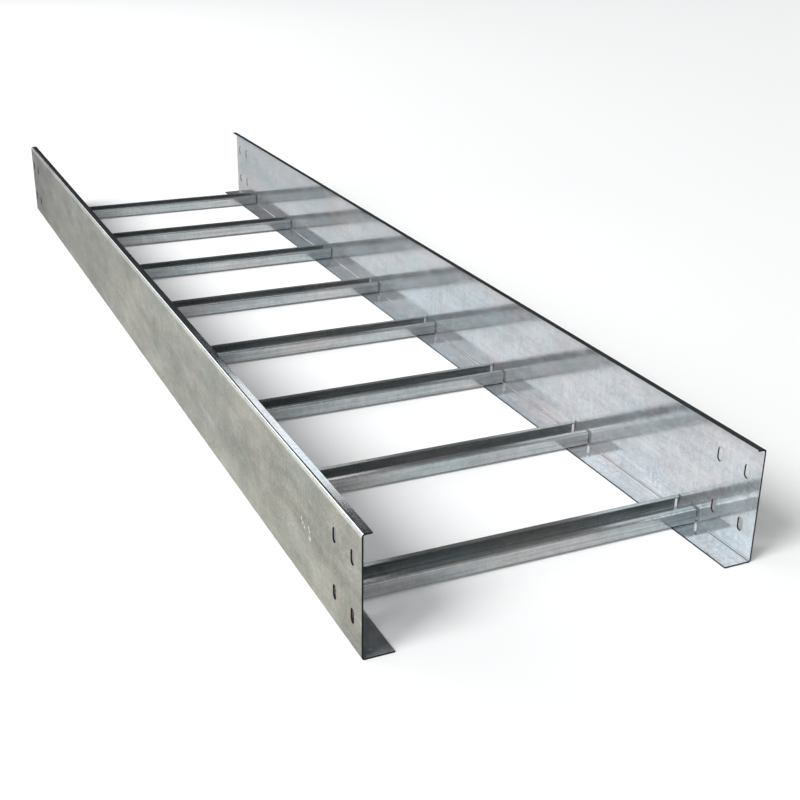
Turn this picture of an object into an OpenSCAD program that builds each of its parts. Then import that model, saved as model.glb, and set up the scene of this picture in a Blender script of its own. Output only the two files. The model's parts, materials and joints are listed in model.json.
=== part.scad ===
// Straight section of cable ladder. Two side rails, each rolled from one strip of
// sheet, stand on edge and face each other. Open-topped lipped channels run between
// them as rungs and are welded down onto the rails' bottom flanges.
// X runs across the ladder, Y along it and Z up. The origin is at the middle of the base.

/* [Section] */
// Length of the section
section_length = 2000; // [1000:10:3000]
// Clear width between the webs of the two rails
inner_width = 500; // [150:10:900]

/* [Side rail] */
// Height of a rail
rail_height = 150; // [130:5:250]
// Width of a rail's top flange, measured over the web
top_flange = 12; // [8:0.5:40]
// Width of a rail's bottom flange, measured over the web
bottom_flange = 38; // [25:1:60]
// Thickness of a rail's sheet
rail_sheet = 2; // [1.2:0.1:3]
// Inside radius of a rail's bends
rail_bend_r = 2; // [1:0.1:4]

/* [Rung] */
// Distance between the middles of two rungs
rung_pitch = 250; // [200:5:330]
// Width of a rung over its sides
rung_width = 45; // [30:1:60]
// Height of a rung
rung_height = 20; // [14:0.5:40]
// Width of a rung's lip, measured over its side
rung_lip = 9; // [6:0.5:12]
// Thickness of a rung's sheet
rung_sheet = 1.5; // [1:0.1:2.5]
// Inside radius of a rung's bends
rung_bend_r = 1.5; // [1:0.1:3]
// Gap between a rung's end and the start of a rail's bottom bend
rung_end_gap = 0.5; // [0.2:0.1:10]

/* [Coupling slots] */
// Width of a slot
slot_width = 9; // [6:0.5:12]
// Height of a slot over its round ends
slot_height = 18; // [13:0.5:24]
// Distance from a rail's end to the middle of its first slot
slot_end = 25; // [15:1:50]
// Distance along the rail between the two columns of slots
slot_pitch = 50; // [20:1:100]
// Distance between the upper and the lower slot of a column
slot_rise = 70; // [30:1:90]

/* [Hidden] */
// Full circles only need to be fine enough for a smooth preview
$fn = 48;
// How far a cut runs past the faces that it opens
cut_over = 1;
rung_count = floor(section_length / rung_pitch);
rail_bend_out = rail_bend_r + rail_sheet;
rung_bend_out = rung_bend_r + rung_sheet;
rung_length = inner_width - 2 * (rail_bend_r + rung_end_gap);
rail_color = "#a6a9a5";
rung_color = "#8d9496";

// A quarter of a bend about its own centre, in from -Y and out to +X
module quarter_bend(sheet, bend_r) {
    outer_r = bend_r + sheet;
    intersection() {
        difference() {
            circle(r = outer_r);
            circle(r = bend_r);
        }
        translate([0, -outer_r])
            square(outer_r);
    }
}

// Outline of a strip that is bent left after each flat but its last.
// It sets out along +X from the origin, with its outer face on the right.
module bent_strip(flats, sheet, bend_r, i = 0) {
    square([flats[i], sheet]);
    if (i < len(flats) - 1) {
        translate([flats[i], sheet + bend_r]) {
            quarter_bend(sheet, bend_r);
            translate([sheet + bend_r, 0])
                rotate(90)
                    bent_strip(flats, sheet, bend_r, i + 1);
        }
    }
}

// A slot that stands up along +Y about its middle
module slot_outline() {
    straight = slot_height - slot_width;
    square([slot_width, straight], center = true);
    for (side = [-1, 1])
        translate([0, side * straight / 2])
            circle(d = slot_width);
}

// Two columns of slots at each end of the right rail's web
module coupling_slots() {
    for (end = [-1, 1], column = [0, 1], row = [-1, 1])
        translate([
            inner_width / 2 - cut_over,
            end * (section_length / 2 - slot_end - column * slot_pitch),
            rail_height / 2 + row * slot_rise / 2
        ])
            rotate([90, 0, 90])
                linear_extrude(rail_sheet + 2 * cut_over)
                    slot_outline();
}

// The right rail, with its flanges turned in. Its outline starts at the bottom flange's free edge.
module side_rail() {
    color(rail_color)
        difference() {
            rotate([90, 0, 0])
                linear_extrude(section_length, center = true)
                    translate([inner_width / 2 + rail_sheet - bottom_flange, 0])
                        bent_strip(
                            [
                                bottom_flange - rail_bend_out,
                                rail_height - 2 * rail_bend_out,
                                top_flange - rail_bend_out
                            ],
                            rail_sheet,
                            rail_bend_r
                        );
            coupling_slots();
        }
}

module side_rail_right() {
    side_rail();
}

// The same rail, turned end for end
module side_rail_left() {
    rotate(180)
        side_rail();
}

// A lipped channel that sits on both bottom flanges. Its outline starts at the free edge of a lip.
module rung(i) {
    side_flat = rung_height - 2 * rung_bend_out;
    lip_flat = rung_lip - rung_bend_out;
    color(rung_color)
        translate([0, (i - (rung_count + 1) / 2) * rung_pitch, rail_sheet])
            rotate([90, 0, 90])
                linear_extrude(rung_length, center = true)
                    translate([rung_lip - rung_width / 2, rung_height])
                        rotate(180)
                            bent_strip(
                                [lip_flat, side_flat, rung_width - 2 * rung_bend_out, side_flat, lip_flat],
                                rung_sheet,
                                rung_bend_r
                            );
}

side_rail_left();
side_rail_right();
for (i = [1 : rung_count])
    rung(i);
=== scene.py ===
"""Looks of a cable ladder section: hot-dip galvanised sheet steel on a pale studio floor.

Everything is in metres, in the ladder's own frame: X across it, Y along it, Z up.
"""

import json
import math

import bpy
from mathutils import Matrix, Vector


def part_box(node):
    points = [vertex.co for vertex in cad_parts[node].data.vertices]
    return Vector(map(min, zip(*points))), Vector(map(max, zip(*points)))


MM = 0.001
HAIR = 0.1 * MM  # How close to a face counts as on it
ACROSS, ALONG = 0, 1

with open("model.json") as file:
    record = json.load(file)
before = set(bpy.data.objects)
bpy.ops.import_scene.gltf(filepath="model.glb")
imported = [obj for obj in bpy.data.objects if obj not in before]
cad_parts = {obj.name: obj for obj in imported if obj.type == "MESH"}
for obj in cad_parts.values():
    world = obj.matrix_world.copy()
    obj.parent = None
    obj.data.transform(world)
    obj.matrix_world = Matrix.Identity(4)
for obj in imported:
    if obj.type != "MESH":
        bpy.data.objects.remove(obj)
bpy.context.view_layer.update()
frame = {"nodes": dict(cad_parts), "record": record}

# Where the sheets end, from the frame
rail_low, rail_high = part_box("side_rail_right")
rung_low, rung_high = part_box("rung_1")
web_out = rail_high.x
flange_edge = rail_low.x
rail_end = rail_high.y
rail_top = rail_high.z
rung_end = rung_high.x
rung_base = rung_low.z

# The coupling slots, from the mounts that name them
mounts = {mount["name"]: mount for mount in frame["record"]["mounts"]}
outer_column = mounts["slots_right_near_outer"]
inner_column = mounts["slots_right_near_inner"]
slot_r = outer_column["dims"]["hole_r_mm"] * MM
slot_half = outer_column["dims"]["slot_length_mm"] / 2 * MM
slot_rise = outer_column["dims"]["spacing_y_mm"] * MM
slot_mid_z = outer_column["pos_m"][2]
slot_outer_y = -outer_column["pos_m"][1]
slot_inner_y = -inner_column["pos_m"][1]


# ---------------------------------------------------------------- node helpers


def linear(code):
    """An sRGB hex colour as the linear RGBA that Blender's sockets take."""
    channels = [int(code[i : i + 2], 16) / 255 for i in (1, 3, 5)]
    return [c / 12.92 if c <= 0.04045 else ((c + 0.055) / 1.055) ** 2.4 for c in channels] + [1]


def add(tree, kind, sockets=None, **settings):
    """Adds a node, sets its properties, and sets or links its sockets by name or number.

    Returns its first live output, or the node itself where it has none.
    """
    made = tree.nodes.new(kind)
    for name, value in settings.items():
        setattr(made, name, value)
    for name, value in (sockets or {}).items():
        if isinstance(value, bpy.types.NodeSocket):
            tree.links.new(value, made.inputs[name])
        else:
            made.inputs[name].default_value = value
    live = [socket for socket in made.outputs if socket.enabled]
    return live[0] if live else made


def maths(tree, operation, *values):
    """The result of a Math node."""
    return add(tree, "ShaderNodeMath", dict(enumerate(values)), operation=operation)


def sums(tree, start, *parts):
    """The number `start` plus each (socket, weight) pair."""
    total = start
    for socket, weight in parts:
        total = maths(tree, "MULTIPLY_ADD", socket, weight, total)
    return total


def ramp(tree, value, start, end, low=0.0, high=1.0):
    """`low` up to `start`, and from there straight to `high` at `end`."""
    return add(tree, "ShaderNodeMapRange", {0: value, 1: start, 2: end, 3: low, 4: high})


def mix(tree, share, first, second):
    """The first colour where the share is 0 and the second where it is 1."""
    return add(tree, "ShaderNodeMix", {0: share, 6: first, 7: second}, data_type="RGBA")


def split(tree, place):
    """The X, Y and Z of a place or a direction."""
    axes = tree.nodes.new("ShaderNodeSeparateXYZ")
    tree.links.new(place, axes.inputs[0])
    return axes.outputs


def fresh_tree(owner):
    """The empty node tree of a material or a world."""
    owner.use_nodes = True
    owner.node_tree.nodes.clear()
    return owner.node_tree


# ------------------------------------------------------------- galvanised steel


def noise(tree, place, size, stretch=(1, 1, 1), detail=2.0, **sockets):
    """Noise whose patches are about `size` metres across, drawn out where stretch is over 1."""
    drawn = add(
        tree, "ShaderNodeMapping", {"Vector": place, "Scale": [1 / times for times in stretch]}
    )
    return add(
        tree, "ShaderNodeTexNoise", {"Vector": drawn, "Scale": 1 / size, "Detail": detail, **sockets}
    )


def cells(tree, place, size, output):
    """A Voronoi pattern of cells about `size` metres across."""
    made = tree.nodes.new("ShaderNodeTexVoronoi")
    made.inputs["Scale"].default_value = 1 / size
    tree.links.new(place, made.inputs["Vector"])
    return made.outputs[output]


def outer_web(tree, far_x):
    """0 up to a web's inner face and 1 on its outer face."""
    return ramp(tree, far_x, web_out - 1.6 * MM, web_out - HAIR)


def top_corner_highlight(tree, far_x, z):
    """1 on the outer corner along a rail's top, about 5 mm wide, where a highlight is painted."""
    beside = ramp(tree, far_x, web_out - 3 * MM, web_out - 1 * MM)
    high = ramp(tree, z, rail_top - 6.5 * MM, rail_top - 4 * MM)
    return maths(tree, "MULTIPLY", beside, high)


def top_flange(tree, far_x, z):
    """1 on the upper side of a rail's top flange."""
    high = maths(tree, "GREATER_THAN", z, rail_top - 0.3 * MM)
    return maths(tree, "MULTIPLY", high, maths(tree, "LESS_THAN", far_x, web_out - 2 * MM))


def rail_cuts_and_slot_shade(tree, far_x, far_y, z):
    """1 where the shears or the punch cut a rail: its ends, slot walls and flange edge, and on a
    thin rim of painted shade around each slot.
    """
    ends = maths(tree, "GREATER_THAN", far_y, rail_end - HAIR)
    edge = maths(tree, "COMPARE", far_x, flange_edge, HAIR)
    # The distance from the middle line of the nearest slot, folded twice onto one slot, with
    # a rim of painted shade on the face around it
    shade_rim = 0.2 * MM
    middle = (slot_outer_y + slot_inner_y) / 2
    along = maths(tree, "ABSOLUTE", sums(tree, -middle, (far_y, 1.0)))
    along = sums(tree, -abs(slot_outer_y - middle), (along, 1.0))
    rise = maths(tree, "ABSOLUTE", sums(tree, -slot_mid_z, (z, 1.0)))
    rise = maths(tree, "ABSOLUTE", sums(tree, -slot_rise / 2, (rise, 1.0)))
    rise = maths(tree, "MAXIMUM", sums(tree, slot_r - slot_half, (rise, 1.0)), 0.0)
    square = maths(tree, "MULTIPLY_ADD", rise, rise, maths(tree, "MULTIPLY", along, along))
    slots = maths(tree, "LESS_THAN", square, (slot_r + shade_rim) ** 2)
    in_web = maths(tree, "GREATER_THAN", far_x, web_out - 3 * MM)
    slots = maths(tree, "MULTIPLY", slots, in_web)
    return maths(tree, "MAXIMUM", maths(tree, "MAXIMUM", ends, edge), slots)


def splashes(tree, place):
    """Up to 0.8 on a few bright splashes of zinc at the near end of the left rail."""
    # Millimetres from the rail's near outer corner: inwards, along and up, then the width
    spots = [
        (0, 175, 80, 3.5), (0, 171, 76, 4), (0, 166, 73, 4), (0, 152, 79, 3.5),
        (0, 150, 75, 4), (0, 149, 67, 6), (15.5, 12.5, 2, 4), (8.5, 4, 2, 4.5),
    ]
    total = 0.0
    for inwards, along, up, width in spots:
        middle = (-web_out + inwards * MM, -rail_end + along * MM, up * MM)
        far = add(tree, "ShaderNodeVectorMath", {0: place, 1: middle}, operation="DISTANCE")
        radius = width / 2 * MM
        total = maths(tree, "ADD", total, ramp(tree, far, 1.5 * radius, 0.3 * radius, 0.0, 0.8))
    return total


def galvanised_sheet(name, rolled, inner, outer, rough, outer_rough, streaks, cut):
    """Hot-dip galvanised sheet steel, rolled into a profile along the axis `rolled`.

    It is three quarters metal and one quarter matt oxide, which takes the flare off its edges.
    The bath leaves faint crystals, cloudy patches, runs and pips, so the tone and the gloss
    wander, and the rolls draw fine lines along the profile.
    """
    made = bpy.data.materials.new(name)
    tree = fresh_tree(made)
    place = tree.nodes.new("ShaderNodeTexCoord").outputs["Object"]
    x, y, z = split(tree, place)
    far_x, far_y = maths(tree, "ABSOLUTE", x), maths(tree, "ABSOLUTE", y)
    outside = outer_web(tree, far_x)

    # The marks, with the size of each. A line is 3 mm wide and 60 times as long.
    longer = [3 if axis == rolled else 1 for axis in range(3)]
    longest = [60 if axis == rolled else 1 for axis in range(3)]
    cloud = noise(tree, place, 30 * MM, longer, 4.0, Roughness=0.62)
    patch = noise(tree, place, 240 * MM, detail=1.0)
    crystal = cells(tree, place, 6 * MM, "Color")
    crystal = add(tree, "ShaderNodeSeparateColor", {0: crystal})
    run = noise(tree, place, 6 * MM, (1, 1, 10))
    line = noise(tree, place, 3 * MM, longest)
    grain = noise(tree, place, 2.2 * MM)
    # Pips of zinc, about 1.5 mm across and 40 mm apart
    pip = ramp(tree, cells(tree, place, 40 * MM, "Distance"), 0.05, 0.02)

    # The tone is 1 on average. The clouds are stronger on the dull outer face of a web, which
    # grows darker with painted shade from its middle to its +Y end.
    marks = [
        (cloud, 0.60), (patch, 0.20), (crystal, 0.12), (run, 0.22), (line, streaks), (grain, 0.45),
    ]
    tone = sums(tree, 1.0 - sum(weight for _, weight in marks) / 2, *marks)
    dull_marks = [(cloud, 0.60), (patch, 0.15), (grain, 0.35)]
    far_end_shade = ramp(tree, y, 0.0, rail_end, 0.0, -0.60)
    outer_marks_and_shade = sums(
        tree, -sum(weight for _, weight in dull_marks) / 2, *dull_marks, (far_end_shade, 1.0)
    )
    tone = maths(tree, "MULTIPLY_ADD", outer_marks_and_shade, outside, tone)
    tone = sums(tree, 0.0, (tone, 1.0), (pip, 0.25))

    hue = noise(tree, place, 45 * MM, longer)
    cool = mix(tree, hue, linear(inner[0]), linear(inner[1]))
    warm = mix(tree, hue, linear(outer[0]), linear(outer[1]))
    # The outer face of a web takes warmer colours, darkened with painted shade
    base = mix(tree, outside, cool, warm)
    metal = metal_share = 0.75
    if rolled == ALONG:
        # A rail's top corner gets a painted highlight, and the upper side of its top flange is
        # cleaner
        tone = sums(tree, 0.0, (tone, 1.0), (top_corner_highlight(tree, far_x, z), 0.65))
        base = add(tree, "ShaderNodeVectorMath", {0: base, 3: tone}, operation="SCALE")
        base = mix(tree, splashes(tree, place), base, linear("#f4f5f5"))
        cuts_and_shade = rail_cuts_and_slot_shade(tree, far_x, far_y, z)
        metal = sums(tree, metal_share, (top_flange(tree, far_x, z), 0.20))
    else:
        # A thin line of painted shade along a rung's bottom corner
        contact_shade = ramp(tree, z, rung_base + 1.8 * MM, rung_base + 0.8 * MM)
        tone = sums(tree, 0.0, (tone, 1.0), (contact_shade, -0.65))
        base = add(tree, "ShaderNodeVectorMath", {0: base, 3: tone}, operation="SCALE")
        cuts_and_shade = maths(tree, "GREATER_THAN", far_x, rung_end - HAIR)
    # The rail's near-black cut colour is bare steel darkened with painted shade, so that its slots
    # read dark
    colour = mix(tree, cuts_and_shade, base, linear(cut))

    gloss = sums(
        tree, rough - 0.14, (cloud, 0.20), (grain, 0.08), (outside, outer_rough - rough)
    )
    gloss = maths(tree, "MAXIMUM", gloss, maths(tree, "MULTIPLY", cuts_and_shade, 0.6))

    # The sheet is a little wavy over 120 mm and finely uneven over 2 mm
    wave = noise(tree, place, 120 * MM, detail=0.0)
    uneven = sums(tree, 0.0, (grain, 1.0), (line, 0.6), (pip, 3.0))
    wavy = add(tree, "ShaderNodeBump", {"Height": wave, "Distance": 0.20 * MM, "Strength": 1.0})
    fine = add(
        tree,
        "ShaderNodeBump",
        {"Height": uneven, "Distance": 0.02 * MM, "Strength": 1.0, "Normal": wavy},
    )
    zinc = add(
        tree,
        "ShaderNodeBsdfPrincipled",
        {
            "Base Color": colour,
            "Metallic": metal,
            "Roughness": gloss,
            "Specular Tint": linear("#a9a9a9"),
            "Normal": fine,
        },
    )
    add(tree, "ShaderNodeOutputMaterial", {"Surface": zinc})
    return made


rail_zinc = galvanised_sheet(
    "galvanised_rail",
    rolled=ALONG,
    inner=("#afc1c8", "#cbc2c2"),
    # The outer colours are darker than the inner ones: painted shade
    outer=("#99a19b", "#afa89d"),
    rough=0.10,
    outer_rough=0.34,
    streaks=0.24,
    # Bare steel at the cuts, darkened with painted shade
    cut="#26282a",
)
rung_zinc = galvanised_sheet(
    "galvanised_rung",
    rolled=ACROSS,
    inner=("#9bafb4", "#b9afac"),
    outer=("#9bafb4", "#b9afac"),
    rough=0.18,
    outer_rough=0.18,
    streaks=0.85,
    cut="#8b9092",
)
for name, node in frame["nodes"].items():
    node.data.materials.clear()
    node.data.materials.append(rail_zinc if name.startswith("side_rail") else rung_zinc)


# ------------------------------------------------------------- floor and light


def seen_as_is(tree):
    """1 for the rays that see the floor as it is: from the eye, or by way of metal or glass."""
    path = tree.nodes.new("ShaderNodeLightPath").outputs
    seen = maths(tree, "MAXIMUM", path["Is Camera Ray"], path["Is Glossy Ray"])
    return maths(tree, "MAXIMUM", seen, path["Is Transmission Ray"])


def paper_floor():
    """Matt white paper under the ladder, which keeps a soft shadow."""
    bpy.ops.mesh.primitive_plane_add(size=80, location=(0, 0, -0.2 * MM))
    floor = bpy.context.object
    floor.name = "paper_floor"
    paper = bpy.data.materials.new("white_paper")
    tree = fresh_tree(paper)
    matt = add(tree, "ShaderNodeBsdfDiffuse", {"Color": (0.9, 0.9, 0.9, 1)})
    lift = maths(tree, "MULTIPLY", seen_as_is(tree), 0.11)
    glow = add(tree, "ShaderNodeEmission", {"Color": (1, 1, 1, 1), "Strength": lift})
    both = add(tree, "ShaderNodeAddShader", {0: matt, 1: glow})
    add(tree, "ShaderNodeOutputMaterial", {"Surface": both})
    floor.data.materials.append(paper)


def studio_room():
    """Pale at the horizon and overhead, grey behind the near end and dark past the far end."""
    world = bpy.data.worlds.new("studio_room")
    bpy.context.scene.world = world
    tree = fresh_tree(world)
    x, y, z = split(tree, tree.nodes.new("ShaderNodeTexCoord").outputs["Generated"])
    skirt = ramp(tree, z, 0.07, 0.16, 0.92, 0.0)
    near = sums(tree, 0.0, (x, -0.4), (y, -0.9))
    wall = maths(
        tree, "MULTIPLY", ramp(tree, near, -0.1, 0.6, 0.0, 0.6), ramp(tree, z, 0.55, 0.8, 1.0, 0.2)
    )
    ceiling = ramp(tree, z, 0.72, 0.94, 0.04, 0.45)
    light = maths(tree, "MAXIMUM", maths(tree, "MAXIMUM", skirt, wall), ceiling)
    sky = add(tree, "ShaderNodeBackground", {"Color": (0.97, 1.0, 1.02, 1), "Strength": light})
    add(tree, "ShaderNodeOutputWorld", {"Surface": sky})


def stand(name, data, aim, at):
    """Puts a lamp at `at`, shining towards `aim`."""
    made = bpy.data.objects.new(name, data)
    made.location = at
    made.rotation_mode = "QUATERNION"
    made.rotation_quaternion = (Vector(aim) - Vector(at)).to_track_quat("-Z", "Y")
    bpy.context.collection.objects.link(made)


def softbox(name, aim, at, size, watts):
    """A rectangular area lamp of a width and a height in metres."""
    light = bpy.data.lights.new(name, "AREA")
    light.shape = "RECTANGLE"
    light.size, light.size_y = size
    light.energy = watts
    stand(name, light, aim, at)


def sun(name, towards, spread, strength):
    """A broad sun that shines towards a direction, `spread` degrees across."""
    light = bpy.data.lights.new(name, "SUN")
    light.angle = math.radians(spread)
    light.energy = strength
    stand(name, light, towards, (0, 0, 0))


def camera():
    """Stands off the near left corner and looks down along the ladder."""
    lens = bpy.data.cameras.new("camera")
    lens.lens = 55.2
    made = bpy.data.objects.new("camera", lens)
    turn = Matrix.Rotation(math.radians(-24.81), 4, "Z")
    tilt = Matrix.Rotation(math.radians(90 - 23.20), 4, "X")
    roll = Matrix.Rotation(math.radians(0.83), 4, "Z")
    made.matrix_world = Matrix.Translation((-0.665, -1.979, 0.750)) @ turn @ tilt @ roll
    bpy.context.collection.objects.link(made)
    bpy.context.scene.camera = made


paper_floor()
studio_room()
sun("high_left", (0.72, 0.20, -0.67), spread=26, strength=2.6)
softbox("left_window", (0.2, -0.7, 0), (-1.75, 1.15, 1.65), (1.8, 1.0), 6.5)
softbox("left_wall", (0.2, 1.4, 0), (-1.9, 2.6, 1.7), (7.0, 1.1), 48)
softbox("front_window", (0.2, -0.3, 0), (-1.7, -2.5, 1.35), (2.2, 1.0), 11)
# The highlight on the left rail's top flange
softbox("far_lamp", (-0.236, -0.76, 0.15), (0.24, 0.62, 0.82), (0.42, 0.30), 0.8)
camera()
bpy.context.scene.view_settings.view_transform = "Standard"
